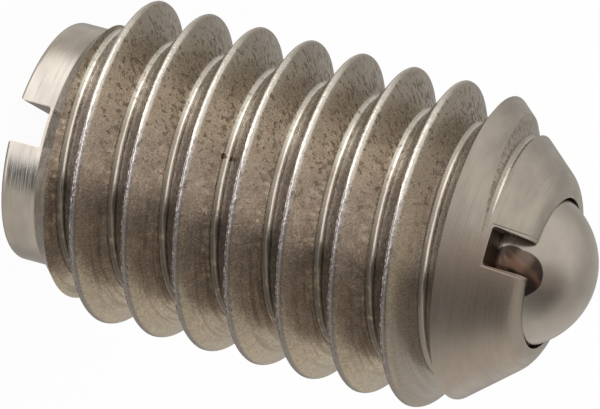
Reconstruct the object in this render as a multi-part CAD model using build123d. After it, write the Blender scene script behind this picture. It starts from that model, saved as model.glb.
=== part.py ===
from build123d import *
import math
import os

# Ball-nose spring plunger, 3/8-16 UNC, in millimetres.
# It stands on its slotted rear end: the origin is the centre of that end face, and +Z runs
# along the screw's axis, out of the ball nose. Both driver slots run along Y.

# Thread
PITCH = 25.4 / 16
MAJOR_R = 4.675
ROOT_R = 3.59
CREST_FLAT = PITCH / 8
FLANK_ANGLE = 30  # each flank's lean from square to the axis
CREST_TURN = 174.0  # turn about +Z at which a crest stands at CREST_Z
CREST_Z = 2.22

# Rear end: a plain pilot with a screwdriver slot, then the chamfer that the thread starts on
PILOT_R = 3.51
PILOT_LENGTH = 1.12
PILOT_EDGE = 0.12
SLOT_WIDTH = 1.2
SLOT_DEPTH = 1.04

# Nose: a cone whose lip is rolled in over the ball, with a second driver slot
LENGTH = 15.6
CONE_ANGLE = 39.5  # the cone's lean from its axis
LIP_ROUND = 1.0
LIP_OPENING_R = 2.2
LIP_EDGE = 0.15
NOSE_SLOT_WIDTH = 1.13
NOSE_SLOT_MOUTH = 1.0  # rolling the lip closes the slot a little
NOSE_SLOT_DEPTH = 1.0

# Ball and bore
BALL_R = 25.4 * 3 / 16 / 2
SEAT_GAP = 0.03
BORE_R = 2.44
BORE_FLOOR_Z = 3.6
DRILL_ANGLE = 59  # half of a twist drill's point

# Spring: a closed coil at each end, open ones between
WIRE_R = 0.35
WIRE_SIDES = 6
COIL_R = 1.9
CLOSED_PITCH = 2 * WIRE_R + 0.04
OPEN_COILS = 3
END_GAP = 0.01

OVER = 1.0  # how far a cutting shape runs past what it cuts

# The ball's centre when it rests against the rolled lip
SEAT_R = BALL_R + SEAT_GAP
BALL_Z = LENGTH - LIP_EDGE - math.sqrt(SEAT_R**2 - LIP_OPENING_R**2)


def sine(angle):
    return math.sin(math.radians(angle))


def cosine(angle):
    return math.cos(math.radians(angle))


def turned(outline):
    """The solid that this closed outline of (radius, height) edges sweeps about the axis."""
    return revolve(make_face(outline), axis=Axis.Z)


def blank():
    """The body's outside as turned from bar, before the thread is cut and the ball goes in."""
    lip_z = LENGTH - LIP_ROUND
    cone_end_r = LIP_OPENING_R + LIP_ROUND * cosine(CONE_ANGLE)
    cone_end = (cone_end_r, lip_z + LIP_ROUND * sine(CONE_ANGLE))
    lip_top = (LIP_OPENING_R, LENGTH)
    half = (90 + CONE_ANGLE) / 2
    lip_middle = (LIP_OPENING_R + LIP_ROUND * cosine(half), lip_z + LIP_ROUND * sine(half))
    cone_start_z = cone_end[1] - (MAJOR_R - cone_end_r) / math.tan(math.radians(CONE_ANGLE))
    chamfer_end_z = PILOT_LENGTH + MAJOR_R - PILOT_R
    up = Polyline(
        (0, 0),
        (PILOT_R - PILOT_EDGE, 0),
        (PILOT_R, PILOT_EDGE),
        (PILOT_R, PILOT_LENGTH),
        (MAJOR_R, chamfer_end_z),
        (MAJOR_R, cone_start_z),
        cone_end,
    )
    lip = ThreePointArc(cone_end, lip_middle, lip_top)
    back = Polyline(lip_top, (0, LENGTH), (0, 0))
    return turned(Plane.XZ * (up + lip + back))


def bore():
    """What the drill, the ball's seat under the lip and the lip's opening take away."""
    floor_tip_z = BORE_FLOOR_Z - BORE_R / math.tan(math.radians(DRILL_ANGLE))
    seat_start_z = BALL_Z + math.sqrt(SEAT_R**2 - (BORE_R - SEAT_GAP) ** 2)
    seat_start = (BORE_R - SEAT_GAP, seat_start_z)
    seat_end = (LIP_OPENING_R, LENGTH - LIP_EDGE)
    seat_slopes = [math.atan2(z - BALL_Z, x) for x, z in (seat_start, seat_end)]
    middle = math.degrees(sum(seat_slopes) / 2)
    seat_middle = (SEAT_R * cosine(middle), BALL_Z + SEAT_R * sine(middle))
    wall = Polyline((0, floor_tip_z), (BORE_R, BORE_FLOOR_Z), (BORE_R, seat_start_z), seat_start)
    seat = ThreePointArc(seat_start, seat_middle, seat_end)
    out = Polyline(seat_end, (LIP_OPENING_R, LENGTH + OVER), (0, LENGTH + OVER), (0, floor_tip_z))
    return turned(Plane.XZ * (wall + seat + out))


def thread_groove():
    """The helical groove, one solid a turn. It runs out on the chamfer and on the cone."""
    slope = math.tan(math.radians(FLANK_ANGLE))
    root_half = (PITCH - CREST_FLAT) / 2 - (MAJOR_R - ROOT_R) * slope
    outer_r = MAJOR_R + PITCH / 40
    outer_half = root_half + (outer_r - ROOT_R) * slope
    section = Plane.XZ * make_face(
        Polyline(
            (ROOT_R, root_half),
            (outer_r, outer_half),
            (outer_r, -outer_half),
            (ROOT_R, -root_half),
            close=True,
        )
    )
    helix = Helix(pitch=PITCH, height=PITCH, radius=ROOT_R)
    one_turn = sweep(section, path=helix, is_frenet=True)
    start_z = CREST_Z - PITCH * 2.5
    turns = math.ceil((LENGTH - start_z) / PITCH)
    starts = [start_z + PITCH * turn for turn in range(turns)]
    return [Pos(0, 0, z) * Rot(0, 0, CREST_TURN) * one_turn for z in starts]


def slot(floor_z, floor_width, mouth_z, mouth_width):
    """A milled slot straight across the body, along Y, open beyond its mouth."""
    over_z = mouth_z + math.copysign(OVER, mouth_z - floor_z)
    right = [(floor_width / 2, floor_z), (mouth_width / 2, mouth_z), (mouth_width / 2, over_z)]
    left = [(-x, z) for x, z in reversed(right)]
    section = make_face(Polyline(*right, *left, close=True))
    return extrude(Plane.XZ * section, amount=MAJOR_R + OVER, both=True)


def body():
    rear_slot = slot(SLOT_DEPTH, SLOT_WIDTH, 0, SLOT_WIDTH)
    nose_slot = slot(LENGTH - NOSE_SLOT_DEPTH, NOSE_SLOT_WIDTH, LENGTH, NOSE_SLOT_MOUTH)
    return blank() - bore() - thread_groove() - rear_slot - nose_slot


def ball():
    return Pos(0, 0, BALL_Z) * Sphere(BALL_R)


def coils(pitch, turns, start_z, start_turn):
    """Wire wound at one pitch. Its section, a hexagon for round, lies in a plane through the axis."""
    section = Plane.XZ * Pos(COIL_R, 0) * RegularPolygon(WIRE_R, WIRE_SIDES)
    helix = Helix(pitch=pitch, height=pitch * turns, radius=COIL_R)
    wire = sweep(section, path=helix, is_frenet=True)
    return Pos(0, 0, start_z) * Rot(0, 0, start_turn) * wire


def spring():
    """Sits on the cone that the drill leaves, and holds the ball inside its last coil."""
    reach = WIRE_R + END_GAP
    floor_z = BORE_FLOOR_Z - (BORE_R - COIL_R) / math.tan(math.radians(DRILL_ANGLE))
    low_z = floor_z + reach / sine(DRILL_ANGLE)
    high_z = BALL_Z - math.sqrt((BALL_R + reach) ** 2 - COIL_R**2)
    open_pitch = (high_z - low_z - 2 * CLOSED_PITCH) / OPEN_COILS
    first = coils(CLOSED_PITCH, 1, low_z, 0)
    middle = coils(open_pitch, OPEN_COILS, low_z + CLOSED_PITCH, 0)
    last = coils(CLOSED_PITCH, 1, high_z - CLOSED_PITCH, 360 * OPEN_COILS)
    return first + middle + last


os.makedirs("parts", exist_ok=True)
for name, shape in (("body", body()), ("ball", ball()), ("spring", spring())):
    export_step(shape, f"parts/{name}.step")
    print(name, round(shape.volume, 2), "mm3")
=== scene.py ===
import math

import bpy
from mathutils import Matrix, Vector


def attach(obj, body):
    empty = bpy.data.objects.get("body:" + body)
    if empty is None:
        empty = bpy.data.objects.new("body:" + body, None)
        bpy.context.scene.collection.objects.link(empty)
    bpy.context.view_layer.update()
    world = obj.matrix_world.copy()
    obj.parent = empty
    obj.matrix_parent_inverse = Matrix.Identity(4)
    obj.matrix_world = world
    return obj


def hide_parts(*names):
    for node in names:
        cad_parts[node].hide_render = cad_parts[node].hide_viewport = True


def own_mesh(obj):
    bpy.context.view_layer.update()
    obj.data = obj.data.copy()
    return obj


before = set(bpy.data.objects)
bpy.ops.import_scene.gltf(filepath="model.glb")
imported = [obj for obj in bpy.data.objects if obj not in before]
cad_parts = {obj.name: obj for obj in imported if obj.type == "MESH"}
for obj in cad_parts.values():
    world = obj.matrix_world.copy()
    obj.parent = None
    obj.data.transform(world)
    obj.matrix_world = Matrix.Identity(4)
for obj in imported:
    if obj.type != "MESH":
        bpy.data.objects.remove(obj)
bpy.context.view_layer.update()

bpy.context.scene.view_settings.view_transform = "Standard"


# ---------------------------------------------------------------- Camera
# A long lens aimed at the middle of the screw and rolled, so that the plunger lies across the
# frame with its ball to the lower right.
LEAN_FROM_AXIS = 71.76
TURN_FROM_SLOT = 5.0
ROLL = 104.91
DISTANCE = 0.23375
AIM = Vector((0, 0, 0.0079475))

bpy.ops.object.select_all(action="DESELECT")
bpy.ops.object.camera_add()
camera = bpy.context.object
camera.data.lens = 492.0
camera.data.sensor_width = 36
camera.data.clip_start = 0.01
camera.data.shift_x = -0.005
camera.data.shift_y = 0.0042
swing = (
    Matrix.Rotation(math.radians(TURN_FROM_SLOT), 4, "Z")
    @ Matrix.Rotation(math.radians(LEAN_FROM_AXIS), 4, "X")
    @ Matrix.Rotation(math.radians(ROLL), 4, "Z")
)
camera.matrix_world = Matrix.Translation(AIM) @ swing @ Matrix.Translation((0, 0, DISTANCE))
bpy.context.scene.camera = camera


# ---------------------------------------------------------------- Studio
# The screw stands on a white table in an evenly lit white tent. Its steel doesn't mirror plain
# white but a shaded studio: a lit wall on one side, a dark one high on the other and, straight
# through the table, a floor with bright lamps on the near side.
TABLE_SIZE = 0.9
TABLE_GAP = 0.00002


class Value:
    """A shader socket that ordinary arithmetic works on. Each operator adds its Math node."""

    def __init__(self, shop, socket):
        self.shop = shop
        self.socket = socket

    def math(self, operation, *others):
        values = dict(enumerate((self, *others)))
        return self.shop.add("ShaderNodeMath", {"operation": operation}, values)

    def __add__(self, other):
        return self.math("ADD", other)

    def __radd__(self, other):
        return self.math("ADD", other)

    def __mul__(self, other):
        return self.math("MULTIPLY", other)

    def __rmul__(self, other):
        return self.math("MULTIPLY", other)

    def __sub__(self, other):
        return self.math("SUBTRACT", other)

    def __rsub__(self, other):
        return (self * -1.0).math("ADD", other)

    def __truediv__(self, other):
        return self.math("DIVIDE", other)


class Shop:
    """Makes the nodes of one material or of the world."""

    def __init__(self, owner):
        owner.use_nodes = True
        self.nodes = owner.node_tree.nodes
        self.links = owner.node_tree.links
        self.nodes.clear()

    def add(self, kind, settings, sockets, output=0):
        """One node: its type, its settings, and the values or links of its sockets."""
        node = self.nodes.new(kind)
        for name, value in settings.items():
            setattr(node, name, value)
        for name, value in sockets.items():
            if isinstance(value, Value):
                self.links.new(value.socket, node.inputs[name])
            else:
                node.inputs[name].default_value = value
        return Value(self, node.outputs[output]) if node.outputs else None

    def ramp(self, value, low, high):
        """0 at low, 1 at high, and smooth between them. low may be the larger."""
        limits = {"Value": value, "From Min": low, "From Max": high}
        return self.add("ShaderNodeMapRange", {"interpolation_type": "SMOOTHSTEP"}, limits)


def lobe(shop, direction, axis, inner, outer):
    """1 within inner degrees of an axis, 0 beyond outer degrees, and soft between them."""
    vectors = {0: direction, 1: Vector(axis).normalized()}
    along = shop.add("ShaderNodeVectorMath", {"operation": "DOT_PRODUCT"}, vectors, "Value")
    return shop.ramp(along, math.cos(math.radians(outer)), math.cos(math.radians(inner)))


def ray(shop, kind):
    """1 where a ray of that kind arrives."""
    return shop.add("ShaderNodeLightPath", {}, {}, f"Is {kind} Ray")


def tint(shop, share, *colours):
    """A share of the second colour in the first. A plain colour is red, green and blue."""
    first, second = (c if isinstance(c, Value) else (*c, 1) for c in colours)
    return shop.add("ShaderNodeMix", {"data_type": "RGBA"}, {0: share, 6: first, 7: second}, 2)


def white_but(shop, shade, hue):
    """White to the eye. Polished metal mirrors this shade and hue in its place."""
    glossy = ray(shop, "Glossy")
    colour = tint(shop, glossy, (1, 1, 1), hue)
    brightness = glossy * shade + (1 - glossy)
    sockets = {0: colour, "Scale": brightness}
    return shop.add("ShaderNodeVectorMath", {"operation": "SCALE"}, sockets)


bpy.context.scene.world = bpy.data.worlds.new("tent")
tent = Shop(bpy.context.scene.world)
direction = tent.add("ShaderNodeTexCoord", {}, {}, "Generated")
height = tent.add("ShaderNodeSeparateXYZ", {}, {0: direction}, "Z")

# The walls, each by the direction that it lies in.
lit_wall = lobe(tent, direction, (-0.66, -0.38, 0.64), 18, 75)
dark_wall = lobe(tent, direction, (0.417, -0.35, 0.839), 12, 47)
far_wall = lobe(tent, direction, (0.63, 0.75, 0.21), 10, 42)
brown_wall = lobe(tent, direction, (0.155, -0.268, 0.951), 5, 28)
wall_shade = 0.55 + lit_wall * 0.37 - dark_wall * 0.355 + far_wall * 0.2

# The floor. Its wide lamp, its side lamp and its far side reach from the horizon to straight below.
level = tent.add("ShaderNodeVectorMath", {"operation": "MULTIPLY"}, {0: direction, 1: (1, 1, 0)})
around = tent.add("ShaderNodeVectorMath", {"operation": "NORMALIZE"}, {0: level})
wide_lamp = lobe(tent, around, (-0.122, -0.993, 0), 34, 45)
side_lamp = lobe(tent, around, (-0.766, -0.643, 0), 4, 46)
low_lamp = lobe(tent, direction, (0.39, -0.47, -0.79), 10, 24)
lamps = wide_lamp.math("MAXIMUM", side_lamp).math("MAXIMUM", low_lamp)
dark_corner = lobe(tent, direction, (0.648, -0.695, -0.31), 7, 19)
far_side = lobe(tent, around, (0.087, 0.996, 0), 20, 50)
floor_shade = 0.8 + lamps * 1.25 - dark_corner * 0.66 - far_side * 0.35

below = tent.ramp(height, 0.02, -0.12)
shade = wall_shade + (floor_shade - wall_shade) * below
hue = tint(tent, brown_wall, (1.0, 0.96, 0.9), (1.0, 0.88, 0.8))
hue = tint(tent, below * lamps, hue, (1, 1, 1))
hue = tint(tent, dark_corner, hue, (0.92, 1.0, 1.08))
soft_light = tent.add(
    "ShaderNodeBackground", {}, {"Color": (1.0, 0.98, 0.95, 1), "Strength": 0.8}
)
white_wall = tent.add("ShaderNodeBackground", {}, {"Color": white_but(tent, shade, hue)})
seen = ray(tent, "Camera") + ray(tent, "Glossy") + ray(tent, "Transmission")
walls = tent.add("ShaderNodeMixShader", {}, {0: seen, 1: soft_light, 2: white_wall})
tent.add("ShaderNodeOutputWorld", {}, {"Surface": walls})

# The table lies a hair below the pilot's end face. A little of its matt paint shows to the
# camera, and that carries the shadow.
bpy.ops.mesh.primitive_plane_add(size=TABLE_SIZE, location=(0, 0, -TABLE_GAP))
table = bpy.context.object
table.name = "table"
table_paint = bpy.data.materials.new("table_white")
white = Shop(table_paint)
matt = white.add("ShaderNodeBsdfDiffuse", {}, {"Color": (0.92, 0.92, 0.91, 1)})
glow = white.add("ShaderNodeEmission", {}, {"Color": (1, 1, 1, 1)})
seen = ray(white, "Camera") * 0.96 + ray(white, "Transmission")
shown = white.add("ShaderNodeMixShader", {}, {0: seen, 1: matt, 2: glow})
clear = white.add("ShaderNodeBsdfTransparent", {}, {})
shown = white.add("ShaderNodeMixShader", {}, {0: ray(white, "Glossy"), 1: shown, 2: clear})
white.add("ShaderNodeOutputMaterial", {}, {"Surface": shown})
table.data.materials.append(table_paint)


# ---------------------------------------------------------------- Threaded body
# The body is turned from stainless bar: a plain pilot behind, a 3/8-16 thread cut with a single
# point, and a cone whose lip is rolled in over the ball. A driver slot is sawn across each end.
ROUND_SIDES = 256
LENGTH = 15.6

PITCH = 25.4 / 16
MAJOR_R = 4.675
ROOT_R = 3.59
ROOT_ROUND = 0.16
CREST_FLAT = PITCH / 8
# One crest passes this turn, in degrees, at this height.
CREST_TURN = 174.0
CREST_Z = 2.22

PILOT_R = 3.51
PILOT_LENGTH = 1.12
PILOT_EDGE = 0.18
SLOT_WIDTH = 1.2
SLOT_DEPTH = 1.04
SLOT_MOUTH = 0.16

CONE_ANGLE = math.radians(39.5)
LIP_ROUND = 1.0
LIP_OPENING_R = 2.2
LIP_EDGE = 0.15
NOSE_SLOT_WIDTH = 1.13
NOSE_SLOT_MOUTH = 1.0
NOSE_SLOT_DEPTH = 1.0
NOSE_SLOT_Z = LENGTH - NOSE_SLOT_DEPTH

# The ball rests on its seat inside the lip. The bore behind it ends in the drill's cone.
BALL_R = 2.38125
SEAT_R = BALL_R + 0.03
BALL_Z = LENGTH - LIP_EDGE - math.sqrt(SEAT_R**2 - LIP_OPENING_R**2)
BORE_R = 2.44
BORE_FLOOR_Z = 3.6
DRILL_POINT = math.radians(59)
BORE_TIP_Z = BORE_FLOOR_Z - BORE_R / math.tan(DRILL_POINT)

# The lit side, where the thread also tore most, and the shaded side; colours carry painted light
# and shade by them. These are their directions in X and Y.
TORN_AND_LIT_SIDE = (-0.92, -0.39)
SHADED_SIDE = (0.95, -0.3)


def arc(middle_r, middle_z, radius, start, end, steps):
    """Points (radius, height) along an arc in the plane of an outline, with angles in radians."""
    angles = [start + (end - start) * step / steps for step in range(steps + 1)]
    return [(middle_r + radius * math.cos(a), middle_z + radius * math.sin(a)) for a in angles]


def turned(name, outline):
    """A round solid from its outline of (radius, height) points, the last of them on the axis."""
    bpy.ops.object.select_all(action="DESELECT")
    radius, height = outline[0]
    bpy.ops.mesh.primitive_circle_add(
        vertices=ROUND_SIDES, radius=radius, fill_type="TRIFAN", location=(0, 0, height)
    )
    solid = bpy.context.object
    solid.name = name
    bpy.ops.object.transform_apply(location=True)
    bpy.ops.object.mode_set(mode="EDIT")
    bpy.ops.mesh.region_to_loop()
    for next_radius, next_height in outline[1:-1]:
        bpy.ops.mesh.extrude_region_move(
            TRANSFORM_OT_translate={"value": (0, 0, next_height - height)}
        )
        scale = next_radius / radius
        bpy.ops.transform.resize(value=(scale, scale, 1), center_override=(0, 0, 0))
        radius, height = next_radius, next_height
    bpy.ops.mesh.extrude_region_move(
        TRANSFORM_OT_translate={"value": (0, 0, outline[-1][1] - height)}
    )
    bpy.ops.mesh.merge(type="CENTER")
    bpy.ops.mesh.select_all(action="SELECT")
    bpy.ops.mesh.normals_make_consistent(inside=False)
    bpy.ops.object.mode_set(mode="OBJECT")
    return solid


def section(points):
    """A flat closed outline of (radius, height) points in the plane of X and Z."""
    bpy.ops.object.select_all(action="DESELECT")
    bpy.ops.mesh.primitive_plane_add(size=1)
    outline = bpy.context.object
    bpy.ops.object.mode_set(mode="EDIT")
    bpy.ops.mesh.merge(type="CENTER")
    bpy.ops.transform.translate(value=(points[0][0], 0, points[0][1]))
    for here, there in zip(points, points[1:]):
        step = (there[0] - here[0], 0, there[1] - here[1])
        bpy.ops.mesh.extrude_region_move(TRANSFORM_OT_translate={"value": step})
    bpy.ops.mesh.select_all(action="SELECT")
    bpy.ops.mesh.edge_face_add()
    bpy.ops.object.mode_set(mode="OBJECT")
    return outline


def pick(piece, wanted):
    """Selects only the vertices that are wanted, by their place, and stays in edit mode."""
    bpy.ops.object.mode_set(mode="EDIT")
    bpy.ops.mesh.select_mode(type="VERT")
    bpy.ops.mesh.select_all(action="DESELECT")
    bpy.ops.object.mode_set(mode="OBJECT")
    for vertex in piece.data.vertices:
        vertex.select = wanted(vertex.co)
    bpy.ops.object.mode_set(mode="EDIT")


def cut(solid, tool, finish):
    """Cuts the tool's shape out of the solid, leaving its finish there, and uses the tool up."""
    tool.data.materials.append(finish)
    boolean = solid.modifiers.new("cut", "BOOLEAN")
    boolean.operation = "DIFFERENCE"
    boolean.solver = "EXACT"
    boolean.material_mode = "TRANSFER"
    boolean.object = tool
    bpy.context.view_layer.objects.active = solid
    bpy.ops.object.modifier_apply(modifier=boolean.name)
    bpy.data.objects.remove(tool, do_unlink=True)


def in_metres(piece, sharp):
    """Brings a piece from millimetres to metres, and shades it smooth up to that angle."""
    bpy.ops.object.select_all(action="DESELECT")
    piece.select_set(True)
    bpy.context.view_layer.objects.active = piece
    piece.scale = (0.001, 0.001, 0.001)
    bpy.ops.object.transform_apply(location=True, rotation=True, scale=True)
    bpy.ops.object.shade_smooth_by_angle(angle=math.radians(sharp))


def place_on(shop):
    """Where a point of the surface lies, in millimetres, and its x, y and height."""
    metres = shop.add("ShaderNodeTexCoord", {}, {}, "Object")
    point = shop.add("ShaderNodeVectorMath", {"operation": "SCALE"}, {0: metres, "Scale": 1000.0})
    x, y, z = (shop.add("ShaderNodeSeparateXYZ", {}, {0: point}, axis) for axis in "XYZ")
    return point, x, y, z


def off_axis(x, y):
    """How far a point lies from the axis."""
    return (x * x + y * y).math("SQRT")


def turn_of(x, y):
    """How far round the axis a point lies, in turns from -0.5 to 0.5."""
    return y.math("ARCTAN2", x) / math.tau


def toward(side, x, y):
    """How far out to one side of the axis a point lies."""
    return x * side[0] + y * side[1]


def vector(shop, x, y, z):
    return shop.add("ShaderNodeCombineXYZ", {}, {0: x, 1: y, 2: z})


def noise(shop, point, scale, detail, drift=0.0):
    """Noise around 0.5. drift moves through it, so that two turns of a thread don't look alike."""
    sockets = {"Vector": point, "W": drift, "Scale": scale, "Detail": detail, "Roughness": 0.6}
    return shop.add("ShaderNodeTexNoise", {"noise_dimensions": "4D"}, sockets)


def steel(shop, colour, roughness, height, depth):
    """Bare metal, with its surface raised by height (0 to 1) times depth in metres."""
    sockets = {"Height": height, "Distance": depth, "Strength": 1.0}
    relief = shop.add("ShaderNodeBump", {}, sockets)
    metal = {"Base Color": colour, "Roughness": roughness, "Normal": relief, "Metallic": 1.0}
    surface = shop.add("ShaderNodeBsdfPrincipled", {}, metal)
    shop.add("ShaderNodeOutputMaterial", {}, {"Surface": surface})


# As turned: fine rings from the tool's feed on the pilot, chamfers and cone, a smudge behind the
# first thread, a patch a little browner beside the nose slot, and a painted highlight along the
# slots' edges.
turned_steel = bpy.data.materials.new("turned_steel")
lathe = Shop(turned_steel)
point, x, y, z = place_on(lathe)
radius = off_axis(x, y)
ring_place = vector(lathe, x / radius * 1.4, y / radius * 1.4, z * 22.0)
rings = noise(lathe, ring_place, 1.0, 3.0, radius * 22.0)
broad_place = vector(lathe, x / radius * 2.5, y / radius * 2.5, z * 1.6)
broad = noise(lathe, broad_place, 1.0, 2.0, radius * 1.6)
grain = noise(lathe, point, 14.0, 3.0)
dents = noise(lathe, point, 4.5, 2.0)
near_slot = lathe.ramp(x.math("ABSOLUTE"), SLOT_WIDTH / 2 + 0.03, SLOT_WIDTH / 2)
at_rear = lathe.ramp(z, SLOT_DEPTH + 0.06, SLOT_DEPTH)
at_nose = lathe.ramp(z, NOSE_SLOT_Z - 0.06, NOSE_SLOT_Z)
slot_edge_round_and_sheen = near_slot * (at_rear + at_nose)
shoulder = lathe.ramp(z, PILOT_LENGTH, PILOT_LENGTH + 0.06) * lathe.ramp(z, 2.6, 2.4)
# A little browner on the cone's lower front, beside the nose slot.
browner_patch = lathe.ramp(z, 13.0, 14.2) * lathe.ramp(x, -0.6, 0.8) * lathe.ramp(y, 0.5, -1.0)
satin = tint(lathe, lathe.ramp(broad, 0.3, 0.7), (0.37, 0.33, 0.29), (0.46, 0.42, 0.37))
satin = tint(lathe, lathe.ramp(rings, 0.55, 0.75) * 0.6, satin, (0.27, 0.24, 0.205))
satin = tint(lathe, browner_patch * 0.55, satin, (0.39, 0.315, 0.255))
# A painted highlight along the slots' edges; the bump below rounds them.
satin = tint(lathe, slot_edge_round_and_sheen * 0.15, satin, (0.62, 0.56, 0.48))
smudged = tint(lathe, lathe.ramp(dents, 0.4, 0.6), (0.3, 0.265, 0.225), (0.19, 0.16, 0.135))
satin = tint(lathe, shoulder * 0.85, satin, smudged)

# The crests keep the bar's skin, raised and dented a little by the threading tool, and carry a
# painted highlight on the lit side.
crest = lathe.ramp(radius, MAJOR_R - 0.06, MAJOR_R - 0.02)
specks = lathe.ramp(grain, 0.5, 0.62)
# Painted highlight on the crests of the lit side.
crest_highlight = lathe.ramp(toward(TORN_AND_LIT_SIDE, x, y) + (dents - 0.5) * 4.0, 1.5, 2.6)
worn = tint(lathe, specks, (0.2, 0.175, 0.18), (0.5, 0.46, 0.43))
bright = tint(lathe, specks, (0.7, 0.66, 0.6), (0.5, 0.455, 0.4))
colour = tint(lathe, crest, satin, tint(lathe, crest_highlight, worn, bright))
roughness = 0.19 + lathe.ramp(z, 2, 12) * 0.08 + (rings - 0.5) * 0.3 + (grain - 0.5) * 0.15
relief = rings * (1.6 - crest * 1.4) + grain * (0.2 + crest)
relief = relief + dents * crest * 5.0 - slot_edge_round_and_sheen * 2.0
steel(lathe, colour, roughness, relief, depth=0.000006)

# As threaded. phase is 0 on a crest, passes down the flank that faces the nose, is 0.5 in the
# root and comes up the next crest's rear flank to 1.
threaded_steel = bpy.data.materials.new("threaded_steel")
die = Shop(threaded_steel)
point, x, y, z = place_on(die)
radius = off_axis(x, y)
turn = turn_of(x, y)
turns = z / PITCH - turn + (CREST_TURN / 360 - CREST_Z / PITCH)
phase = turns.math("FRACT")
# Masks for the lit side, where the thread also tore, and for the shaded side. They carry painted
# light and shade; top_side and crown lie furthest out on the lit side.
outward = toward(TORN_AND_LIT_SIDE, x, y)
torn_and_lit_side = die.ramp(outward, -1.0, 3.8)
highlit_side = die.ramp(outward, 1.9, 2.9)
top_side = die.ramp(outward, 2.8, 4.2)
shaded_side = die.ramp(toward(SHADED_SIDE, x, y), 1.0, 3.8)
crown = die.ramp(x, -3.4, -4.3)
run_out = die.ramp(z, 12.2, 12.9)

streak_place = vector(die, x / radius * 1.6, y / radius * 1.6, phase * 26.0)
streaks = noise(die, streak_place, 1.0, 3.0, z * 0.8)
broad_place = vector(die, x / radius * 4.0, y / radius * 4.0, phase * 1.5)
broad = noise(die, broad_place, 1.0, 2.0, z * 0.7)
tear_place = vector(die, turn * 190.0, radius * 5.5, turns.math("FLOOR") * 5.0)
tears = noise(die, tear_place, 1.0, 2.5, z * 0.5)
blotches = noise(die, point, 1.7, 3.0)
mottle = noise(die, point, 4.5, 3.0)
speckle = noise(die, point, 9.0, 3.0)
grain = noise(die, point, 16.0, 3.0)

nose_flank = die.ramp(phase, 0.05, 0.09) * die.ramp(phase, 0.45, 0.42)
inner_half = die.ramp(phase, 0.12, 0.3)
root_line = die.ramp(phase, 0.4, 0.45) * die.ramp(phase, 0.605, 0.555)
worn_phase = phase + highlit_side * (0.03 + speckle * 0.04)
rear_flank = die.ramp(phase, 0.56, 0.6) * die.ramp(worn_phase, 0.995, 0.98)
edge = 1 - nose_flank - root_line - rear_flank

# A single point tears stainless into short dashes, most towards the root, and once into a pit.
PIT = (-0.5, -3.62, 6.47)
torn = tears - inner_half * torn_and_lit_side * 0.07 - top_side * 0.03
torn = torn + run_out * (1 - inner_half) * 0.2
torn = die.ramp(torn, 0.42, 0.32) * nose_flank * torn_and_lit_side
from_pit = die.add("ShaderNodeVectorMath", {"operation": "DISTANCE"}, {0: point, 1: PIT}, 1)
pit = die.ramp(from_pit + (tears - 0.5) * 0.12, 0.11, 0.055)

# The flank that faces the nose: yellowish steel with brown ingrained, and painted shade by side.
INGRAINED = (0.33, 0.27, 0.2)
# Painted shade: greyer and darker towards the lit side, and darker brown on the shaded side.
clean = tint(die, torn_and_lit_side, (0.72, 0.62, 0.46), (0.28, 0.268, 0.236))
scuffed = tint(die, torn_and_lit_side, (0.64, 0.56, 0.43), (0.38, 0.35, 0.302))
blotched = die.ramp(blotches, 0.46, 0.6) * inner_half * torn_and_lit_side
mottled = die.ramp(mottle, 0.4, 0.62) * (0.25 + torn_and_lit_side * 0.4)
flank_shade = shaded_side * (0.3 + die.ramp(streaks, 0.46, 0.58) * inner_half * 0.6)
colour = tint(die, die.ramp(broad, 0.3, 0.7), clean, scuffed)
colour = tint(die, blotched * 0.6, colour, (0.34, 0.295, 0.235))
colour = tint(die, mottled, colour, (0.38, 0.315, 0.25))
colour = tint(die, die.ramp(grain, 0.42, 0.6) * 0.45, colour, INGRAINED)
colour = tint(die, die.ramp(speckle, 0.46, 0.6) * 0.4, colour, INGRAINED)
colour = tint(die, flank_shade, colour, (0.3, 0.235, 0.17))

# The rear flank: bruised and speckled, with a rough grain where the tool dragged along it.
# Its purple-grey is painted reflection, darker with painted shade on the shaded side and lighter
# with painted light on the lit side.
rear_flank_reflection = tint(die, shaded_side, (0.3, 0.262, 0.258), (0.15, 0.126, 0.132))
rear_flank_reflection = tint(die, die.ramp(speckle, 0.48, 0.64), rear_flank_reflection, (0.76, 0.7, 0.68))
highlit_rear_flank = tint(die, die.ramp(speckle, 0.42, 0.6), (0.7, 0.63, 0.55), (0.24, 0.195, 0.165))
colour = tint(die, rear_flank, colour, tint(die, highlit_side, rear_flank_reflection, highlit_rear_flank))

# The root is burnished, and the rounded edges of the crests are polished and chipped.
# Both carry painted highlight on the lit side, most on its top, and painted shade on the shaded
# side; on the crown the edges mostly keep the flanks' colour.
burnished_root_light_and_shade = tint(die, shaded_side, (0.42, 0.375, 0.33), (0.12, 0.102, 0.085))
burnished_root_light_and_shade = tint(die, highlit_side, burnished_root_light_and_shade, (0.8, 0.76, 0.68))
burnished_root_light_and_shade = tint(die, top_side, burnished_root_light_and_shade, (0.48, 0.45, 0.41))
colour = tint(die, root_line * die.ramp(mottle, 0.75, 0.5), colour, burnished_root_light_and_shade)
chips = die.ramp(mottle + (grain - 0.5) * 0.3, 0.48, 0.66) * (1 - highlit_side * 0.8)
ridge = tint(die, shaded_side, (0.6, 0.555, 0.52), (0.27, 0.245, 0.22))
ridge = tint(die, highlit_side, ridge, (0.72, 0.68, 0.62))
ridge = tint(die, chips, ridge, (0.27, 0.24, 0.235))
colour = tint(die, edge * (1 - crown * 0.8), colour, ridge)

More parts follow.
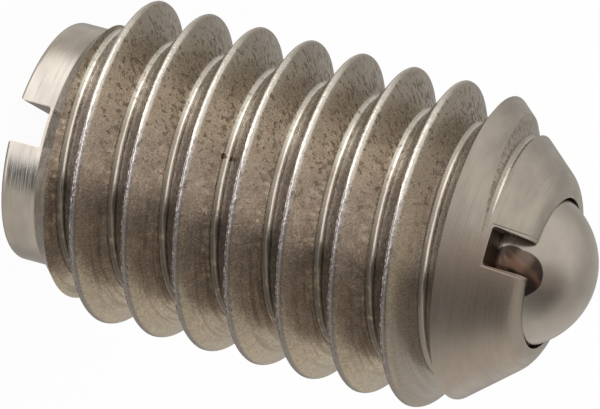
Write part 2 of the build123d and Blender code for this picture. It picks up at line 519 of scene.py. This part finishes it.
# The tears and the pit are dark inside, and the shallow last groove is as smooth as the cone.
colour = tint(die, torn * 0.62, colour, (0.13, 0.095, 0.06))
satin = tint(die, die.ramp(streaks, 0.35, 0.65), (0.32, 0.28, 0.24), (0.4, 0.355, 0.31))
colour = tint(die, run_out * (1 - root_line * 0.3) * (1 - torn * 0.5), colour, satin)
colour = tint(die, pit * 0.85, colour, (0.09, 0.05, 0.03))
roughness = 0.28 - root_line * 0.1 - edge * 0.03 + (grain - 0.5) * 0.2 + torn * 0.2
relief = mottle * (1.4 + edge * 5) + speckle * (0.2 + edge * 0.8) - torn * 2.5 - pit * 3
relief = relief + streaks * 0.6 + grain * (0.2 + rear_flank * 0.6)
steel(die, colour, roughness, relief, depth=0.000006)

# As sawn: the slots keep the saw's straight marks along Y, and the nose slot a brown film.
sawn_steel = bpy.data.materials.new("sawn_steel")
saw = Shop(sawn_steel)
point, x, y, z = place_on(saw)
marks = noise(saw, vector(saw, x * 20.0, y * 1.5, z * 20.0), 1.0, 3.0)
dark_patches = noise(saw, point, 1.2, 3.0)
at_nose = saw.ramp(z, 8.0, 9.0)
# The nose slot's walls are darker brown: partly a brown film, partly painted shade of its narrow
# recess.
colour = tint(saw, at_nose, (0.3, 0.265, 0.23), (0.11, 0.07, 0.048))
colour = tint(saw, saw.ramp(dark_patches, 0.4, 0.7) * at_nose * 0.7, colour, (0.05, 0.03, 0.02))
steel(saw, colour, 0.4 + (marks - 0.5) * 0.2, marks, depth=0.000008)

# The blank: its pilot's rear edge is chamfered and rounded, its lip is rolled in to the seat,
# and its bore is drilled from the nose.
cone_end_r = LIP_OPENING_R + LIP_ROUND * math.cos(CONE_ANGLE)
cone_end_z = LENGTH - LIP_ROUND + LIP_ROUND * math.sin(CONE_ANGLE)
cone_start_z = cone_end_z - (MAJOR_R - cone_end_r) / math.tan(CONE_ANGLE)
seat_start_r = BORE_R - 0.03
seat_start_z = BALL_Z + math.sqrt(SEAT_R**2 - seat_start_r**2)
seat_start = math.atan2(seat_start_z - BALL_Z, seat_start_r)
seat_end = math.atan2(LENGTH - LIP_EDGE - BALL_Z, LIP_OPENING_R)
body = turned(
    "threaded_body",
    [
        (PILOT_R - PILOT_EDGE * 1.3, 0),
        (PILOT_R - PILOT_EDGE * 0.95, PILOT_EDGE * 0.15),
    ]
    + arc(PILOT_R - PILOT_EDGE, PILOT_EDGE * 1.2, PILOT_EDGE, math.radians(-65), 0, 5)
    + [
        (PILOT_R, PILOT_LENGTH),
        (MAJOR_R, PILOT_LENGTH + MAJOR_R - PILOT_R),
        (MAJOR_R, cone_start_z),
    ]
    + arc(LIP_OPENING_R, LENGTH - LIP_ROUND, LIP_ROUND, CONE_ANGLE, math.radians(90), 16)
    + arc(0, BALL_Z, SEAT_R, seat_end, seat_start, 6)
    + [(BORE_R, seat_start_z), (BORE_R, BORE_FLOOR_Z), (0, BORE_TIP_Z)],
)
body.data.materials.append(turned_steel)

# The threading tool: a V of 60 degrees with a round tip, wound up the whole screw and past both
# of its ends. Its corners round the crests, most on their side towards the nose.
TOOL_REACH = 0.3
TURN_GAP = 0.01
TOOL_START_TURNS = 2.5
TOOL_TURNS = 11


def crest_corner(side, tilt, slip):
    """The rounded edge of a crest from its top, tilted by that angle, to a flank moved by slip."""
    flank_z = (PITCH - CREST_FLAT) / 2 + slip
    top_z = PITCH / 2 - TURN_GAP
    depth = (top_z - flank_z) * math.cos(math.radians(30))
    radius = depth / (1 - math.cos(math.radians(60 - tilt)))
    start = math.radians(-tilt)
    middle_r = MAJOR_R - radius * math.cos(start)
    middle_z = top_z - radius * math.sin(start)
    points = arc(middle_r, middle_z, radius, start, math.radians(-60), 8)
    return [(r, side * z) for r, z in points]


groove = section(
    [(MAJOR_R + TOOL_REACH, PITCH / 2 - TURN_GAP)]
    + crest_corner(side=1, tilt=20, slip=0.04)
    + arc(ROOT_R + ROOT_ROUND, 0, ROOT_ROUND, math.radians(120), math.radians(240), 8)
    + crest_corner(side=-1, tilt=4, slip=0)[::-1]
    + [(MAJOR_R + TOOL_REACH, TURN_GAP - PITCH / 2)]
)
bpy.ops.transform.translate(value=(0, 0, CREST_Z - PITCH * TOOL_START_TURNS))
bpy.ops.transform.rotate(
    value=-math.radians(CREST_TURN), orient_axis="Z", center_override=(0, 0, 0)
)
bpy.ops.object.transform_apply(location=True, rotation=True)
winding = groove.modifiers.new("winding", "SCREW")
winding.axis = "Z"
winding.angle = math.radians(360)
winding.screw_offset = PITCH
winding.iterations = TOOL_TURNS
winding.steps = winding.render_steps = ROUND_SIDES
bpy.ops.object.modifier_apply(modifier=winding.name)
bpy.ops.object.mode_set(mode="EDIT")
bpy.ops.mesh.select_all(action="SELECT")
bpy.ops.mesh.fill_holes(sides=0)
bpy.ops.mesh.select_all(action="SELECT")
bpy.ops.mesh.normals_make_consistent(inside=False)
bpy.ops.object.mode_set(mode="OBJECT")
cut(body, groove, threaded_steel)

# The saw blades run right across the screw, and their worn corners round the slots' floors.
BLADE_LENGTH = 12
FLOOR_ROUND = 0.09


def saw_blade(name, width, depth, end_z, inward):
    """A blade set that deep into one end of the screw. inward is 1 for upwards, -1 for down."""
    bpy.ops.mesh.primitive_cube_add(size=1, location=(0, 0, end_z))
    blade = bpy.context.object
    blade.name = name
    blade.scale = (width, BLADE_LENGTH, 2 * depth)
    bpy.ops.object.transform_apply(scale=True)
    pick(blade, lambda place: inward * (place.z - end_z) > 0)
    bpy.ops.mesh.bevel(offset=FLOOR_ROUND, segments=4, affect="EDGES")
    bpy.ops.object.mode_set(mode="OBJECT")
    return blade


# The rear slot's mouth is rounded in two steps: each widens all that lies below a height.
MOUTH_FLARES = [(SLOT_MOUTH / 2, 1.09), (0, 4.6)]
rear_blade = saw_blade("rear_blade", SLOT_WIDTH, SLOT_DEPTH, 0, inward=1)
bpy.ops.object.mode_set(mode="EDIT")
for seam_z in (SLOT_MOUTH, SLOT_MOUTH / 3):
    bpy.ops.mesh.select_all(action="SELECT")
    bpy.ops.mesh.bisect(plane_co=(0, 0, seam_z), plane_no=(0, 0, 1))
for limit_z, flare in MOUTH_FLARES:
    pick(rear_blade, lambda place: place.z < limit_z)
    bpy.ops.transform.resize(value=(flare, 1, 1), center_override=(0, 0, 0))
bpy.ops.object.mode_set(mode="OBJECT")
cut(body, rear_blade, sawn_steel)

# Rolling the lip has closed the nose slot a little at its mouth. The blade reaches as far out of
# the screw as into it, so its outer end is narrowed by twice as much.
nose_blade = saw_blade("nose_blade", NOSE_SLOT_WIDTH, NOSE_SLOT_DEPTH, LENGTH, inward=-1)
pick(nose_blade, lambda place: place.z > LENGTH)
narrowing = (2 * NOSE_SLOT_MOUTH - NOSE_SLOT_WIDTH) / NOSE_SLOT_WIDTH
bpy.ops.transform.resize(value=(narrowing, 1, 1), center_override=(0, 0, LENGTH))
bpy.ops.object.mode_set(mode="OBJECT")
cut(body, nose_blade, sawn_steel)
in_metres(body, sharp=30)

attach(body, "screw")
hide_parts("body")


# ---------------------------------------------------------------- Ball
# A hard stock ball, ground and lapped, that the spring holds against the rolled lip. Its colour
# holds a painted reflection of the nose slot's dark walls at each end of the slot, with a pale
# painted glint.
ball = turned("lapped_ball", arc(0, BALL_Z, BALL_R, math.radians(-89), math.radians(90), 128))
in_metres(ball, sharp=60)

polished_steel = bpy.data.materials.new("polished_steel")
lapping = Shop(polished_steel)
point, x, y, z = place_on(lapping)
from_middle = lapping.add(
    "ShaderNodeVectorMath", {"operation": "SUBTRACT"}, {0: point, 1: (0, 0, BALL_Z)}
)
facing = lapping.add("ShaderNodeVectorMath", {"operation": "NORMALIZE"}, {0: from_middle})
smear_place = vector(lapping, x * 1.6 - z * 1.3, y * 0.5, z * 0.9 + x * 0.5)
smears = noise(lapping, smear_place, 1.0, 2.0)
haze = noise(lapping, point, 0.9, 3.0)
scratches = noise(lapping, vector(lapping, x * 3.0, y * 3.0, z * 24.0), 1.0, 3.0)
colour = tint(lapping, lapping.ramp(haze, 0.3, 0.7), (0.42, 0.385, 0.34), (0.49, 0.45, 0.405))

# Painted reflection of the nose slot at each of its ends, with a pale painted glint inside it.
front = lobe(lapping, facing, (0.186, -0.911, 0.368), 14.5, 18.0)
front = front.math("MAXIMUM", lobe(lapping, facing, (0.12, -0.965, 0.24), 11.5, 15.5))
back = lobe(lapping, facing, (-0.186, 0.911, 0.368), 14.5, 18.0)
dark_patches = lapping.ramp(front + back + (smears - 0.5) * 1.2, 0.3, 0.7)
notch_glint = lobe(lapping, facing, (-0.02, -0.925, 0.38), 2, 8.5)
notch_reflection = tint(lapping, lapping.ramp(smears, 0.47, 0.6), (0.036, 0.021, 0.017), (0.19, 0.1, 0.066))
notch_reflection = tint(lapping, notch_glint * 0.55, notch_reflection, (0.27, 0.19, 0.155))
colour = tint(lapping, dark_patches * 0.92, colour, notch_reflection)
roughness = 0.2 + (haze - 0.5) * 0.2 + (scratches - 0.5) * 0.08
steel(lapping, colour, roughness, scratches * 0.5 + haze, depth=0.000002)
ball.data.materials.append(polished_steel)

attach(ball, "ball")
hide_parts("ball")


# ---------------------------------------------------------------- Spring
# Hard-drawn round wire, wound with a closed coil at each end. It stands on the cone that the drill
# left at the bottom of the bore. squashed is the share of its length left when the ball is pressed
# in.
WIRE_R = 0.35
WIRE_SIDES = 16
COIL_R = 1.9
CLOSED_PITCH = 2 * WIRE_R + 0.04
OPEN_COILS = 3
TURN_STEPS = 36
BALL_TRAVEL = 1.2
wire_reach = WIRE_R + 0.01
cone_drop = (BORE_R - COIL_R) / math.tan(DRILL_POINT)
low_z = BORE_FLOOR_Z - cone_drop + wire_reach / math.sin(DRILL_POINT)
high_z = BALL_Z - math.sqrt((BALL_R + wire_reach) ** 2 - COIL_R**2)
open_pitch = (high_z - low_z - 2 * CLOSED_PITCH) / OPEN_COILS

bpy.ops.object.select_all(action="DESELECT")
bpy.ops.mesh.primitive_circle_add(
    vertices=WIRE_SIDES,
    radius=WIRE_R,
    fill_type="NGON",
    location=(COIL_R, 0, low_z),
    rotation=(math.pi / 2, 0, 0),
)
spring = bpy.context.object
spring.name = "spring_coils"
bpy.ops.object.transform_apply(location=True, rotation=True)
bpy.ops.object.mode_set(mode="EDIT")
for coil_pitch in [CLOSED_PITCH] + [open_pitch] * OPEN_COILS + [CLOSED_PITCH]:
    for step in range(TURN_STEPS):
        bpy.ops.mesh.extrude_region_move(
            TRANSFORM_OT_translate={"value": (0, 0, coil_pitch / TURN_STEPS)}
        )
        bpy.ops.transform.rotate(
            value=-math.radians(360 / TURN_STEPS), orient_axis="Z", center_override=(0, 0, 0)
        )
bpy.ops.mesh.select_all(action="SELECT")
bpy.ops.mesh.normals_make_consistent(inside=False)
bpy.ops.object.mode_set(mode="OBJECT")
in_metres(spring, sharp=50)

wire_steel = bpy.data.materials.new("spring_wire")
drawing = Shop(wire_steel)
point, x, y, z = place_on(drawing)
draw_place = vector(drawing, turn_of(x, y) * 40.0, off_axis(x, y) * 24.0, z * 24.0)
draw_marks = noise(drawing, draw_place, 1.0, 3.0)
stain = noise(drawing, point, 1.3, 2.0)
colour = tint(drawing, drawing.ramp(stain, 0.35, 0.65), (0.36, 0.335, 0.31), (0.5, 0.47, 0.44))
colour = tint(drawing, drawing.ramp(draw_marks, 0.5, 0.7) * 0.5, colour, (0.24, 0.215, 0.2))
steel(drawing, colour, 0.26 + (draw_marks - 0.5) * 0.25, draw_marks, depth=0.000003)
spring.data.materials.append(wire_steel)

seat_z = low_z - WIRE_R
spring_top_z = high_z + WIRE_R
squashed = 1 - BALL_TRAVEL / (spring_top_z - seat_z)
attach(spring, "screw")
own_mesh(spring)
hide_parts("spring")
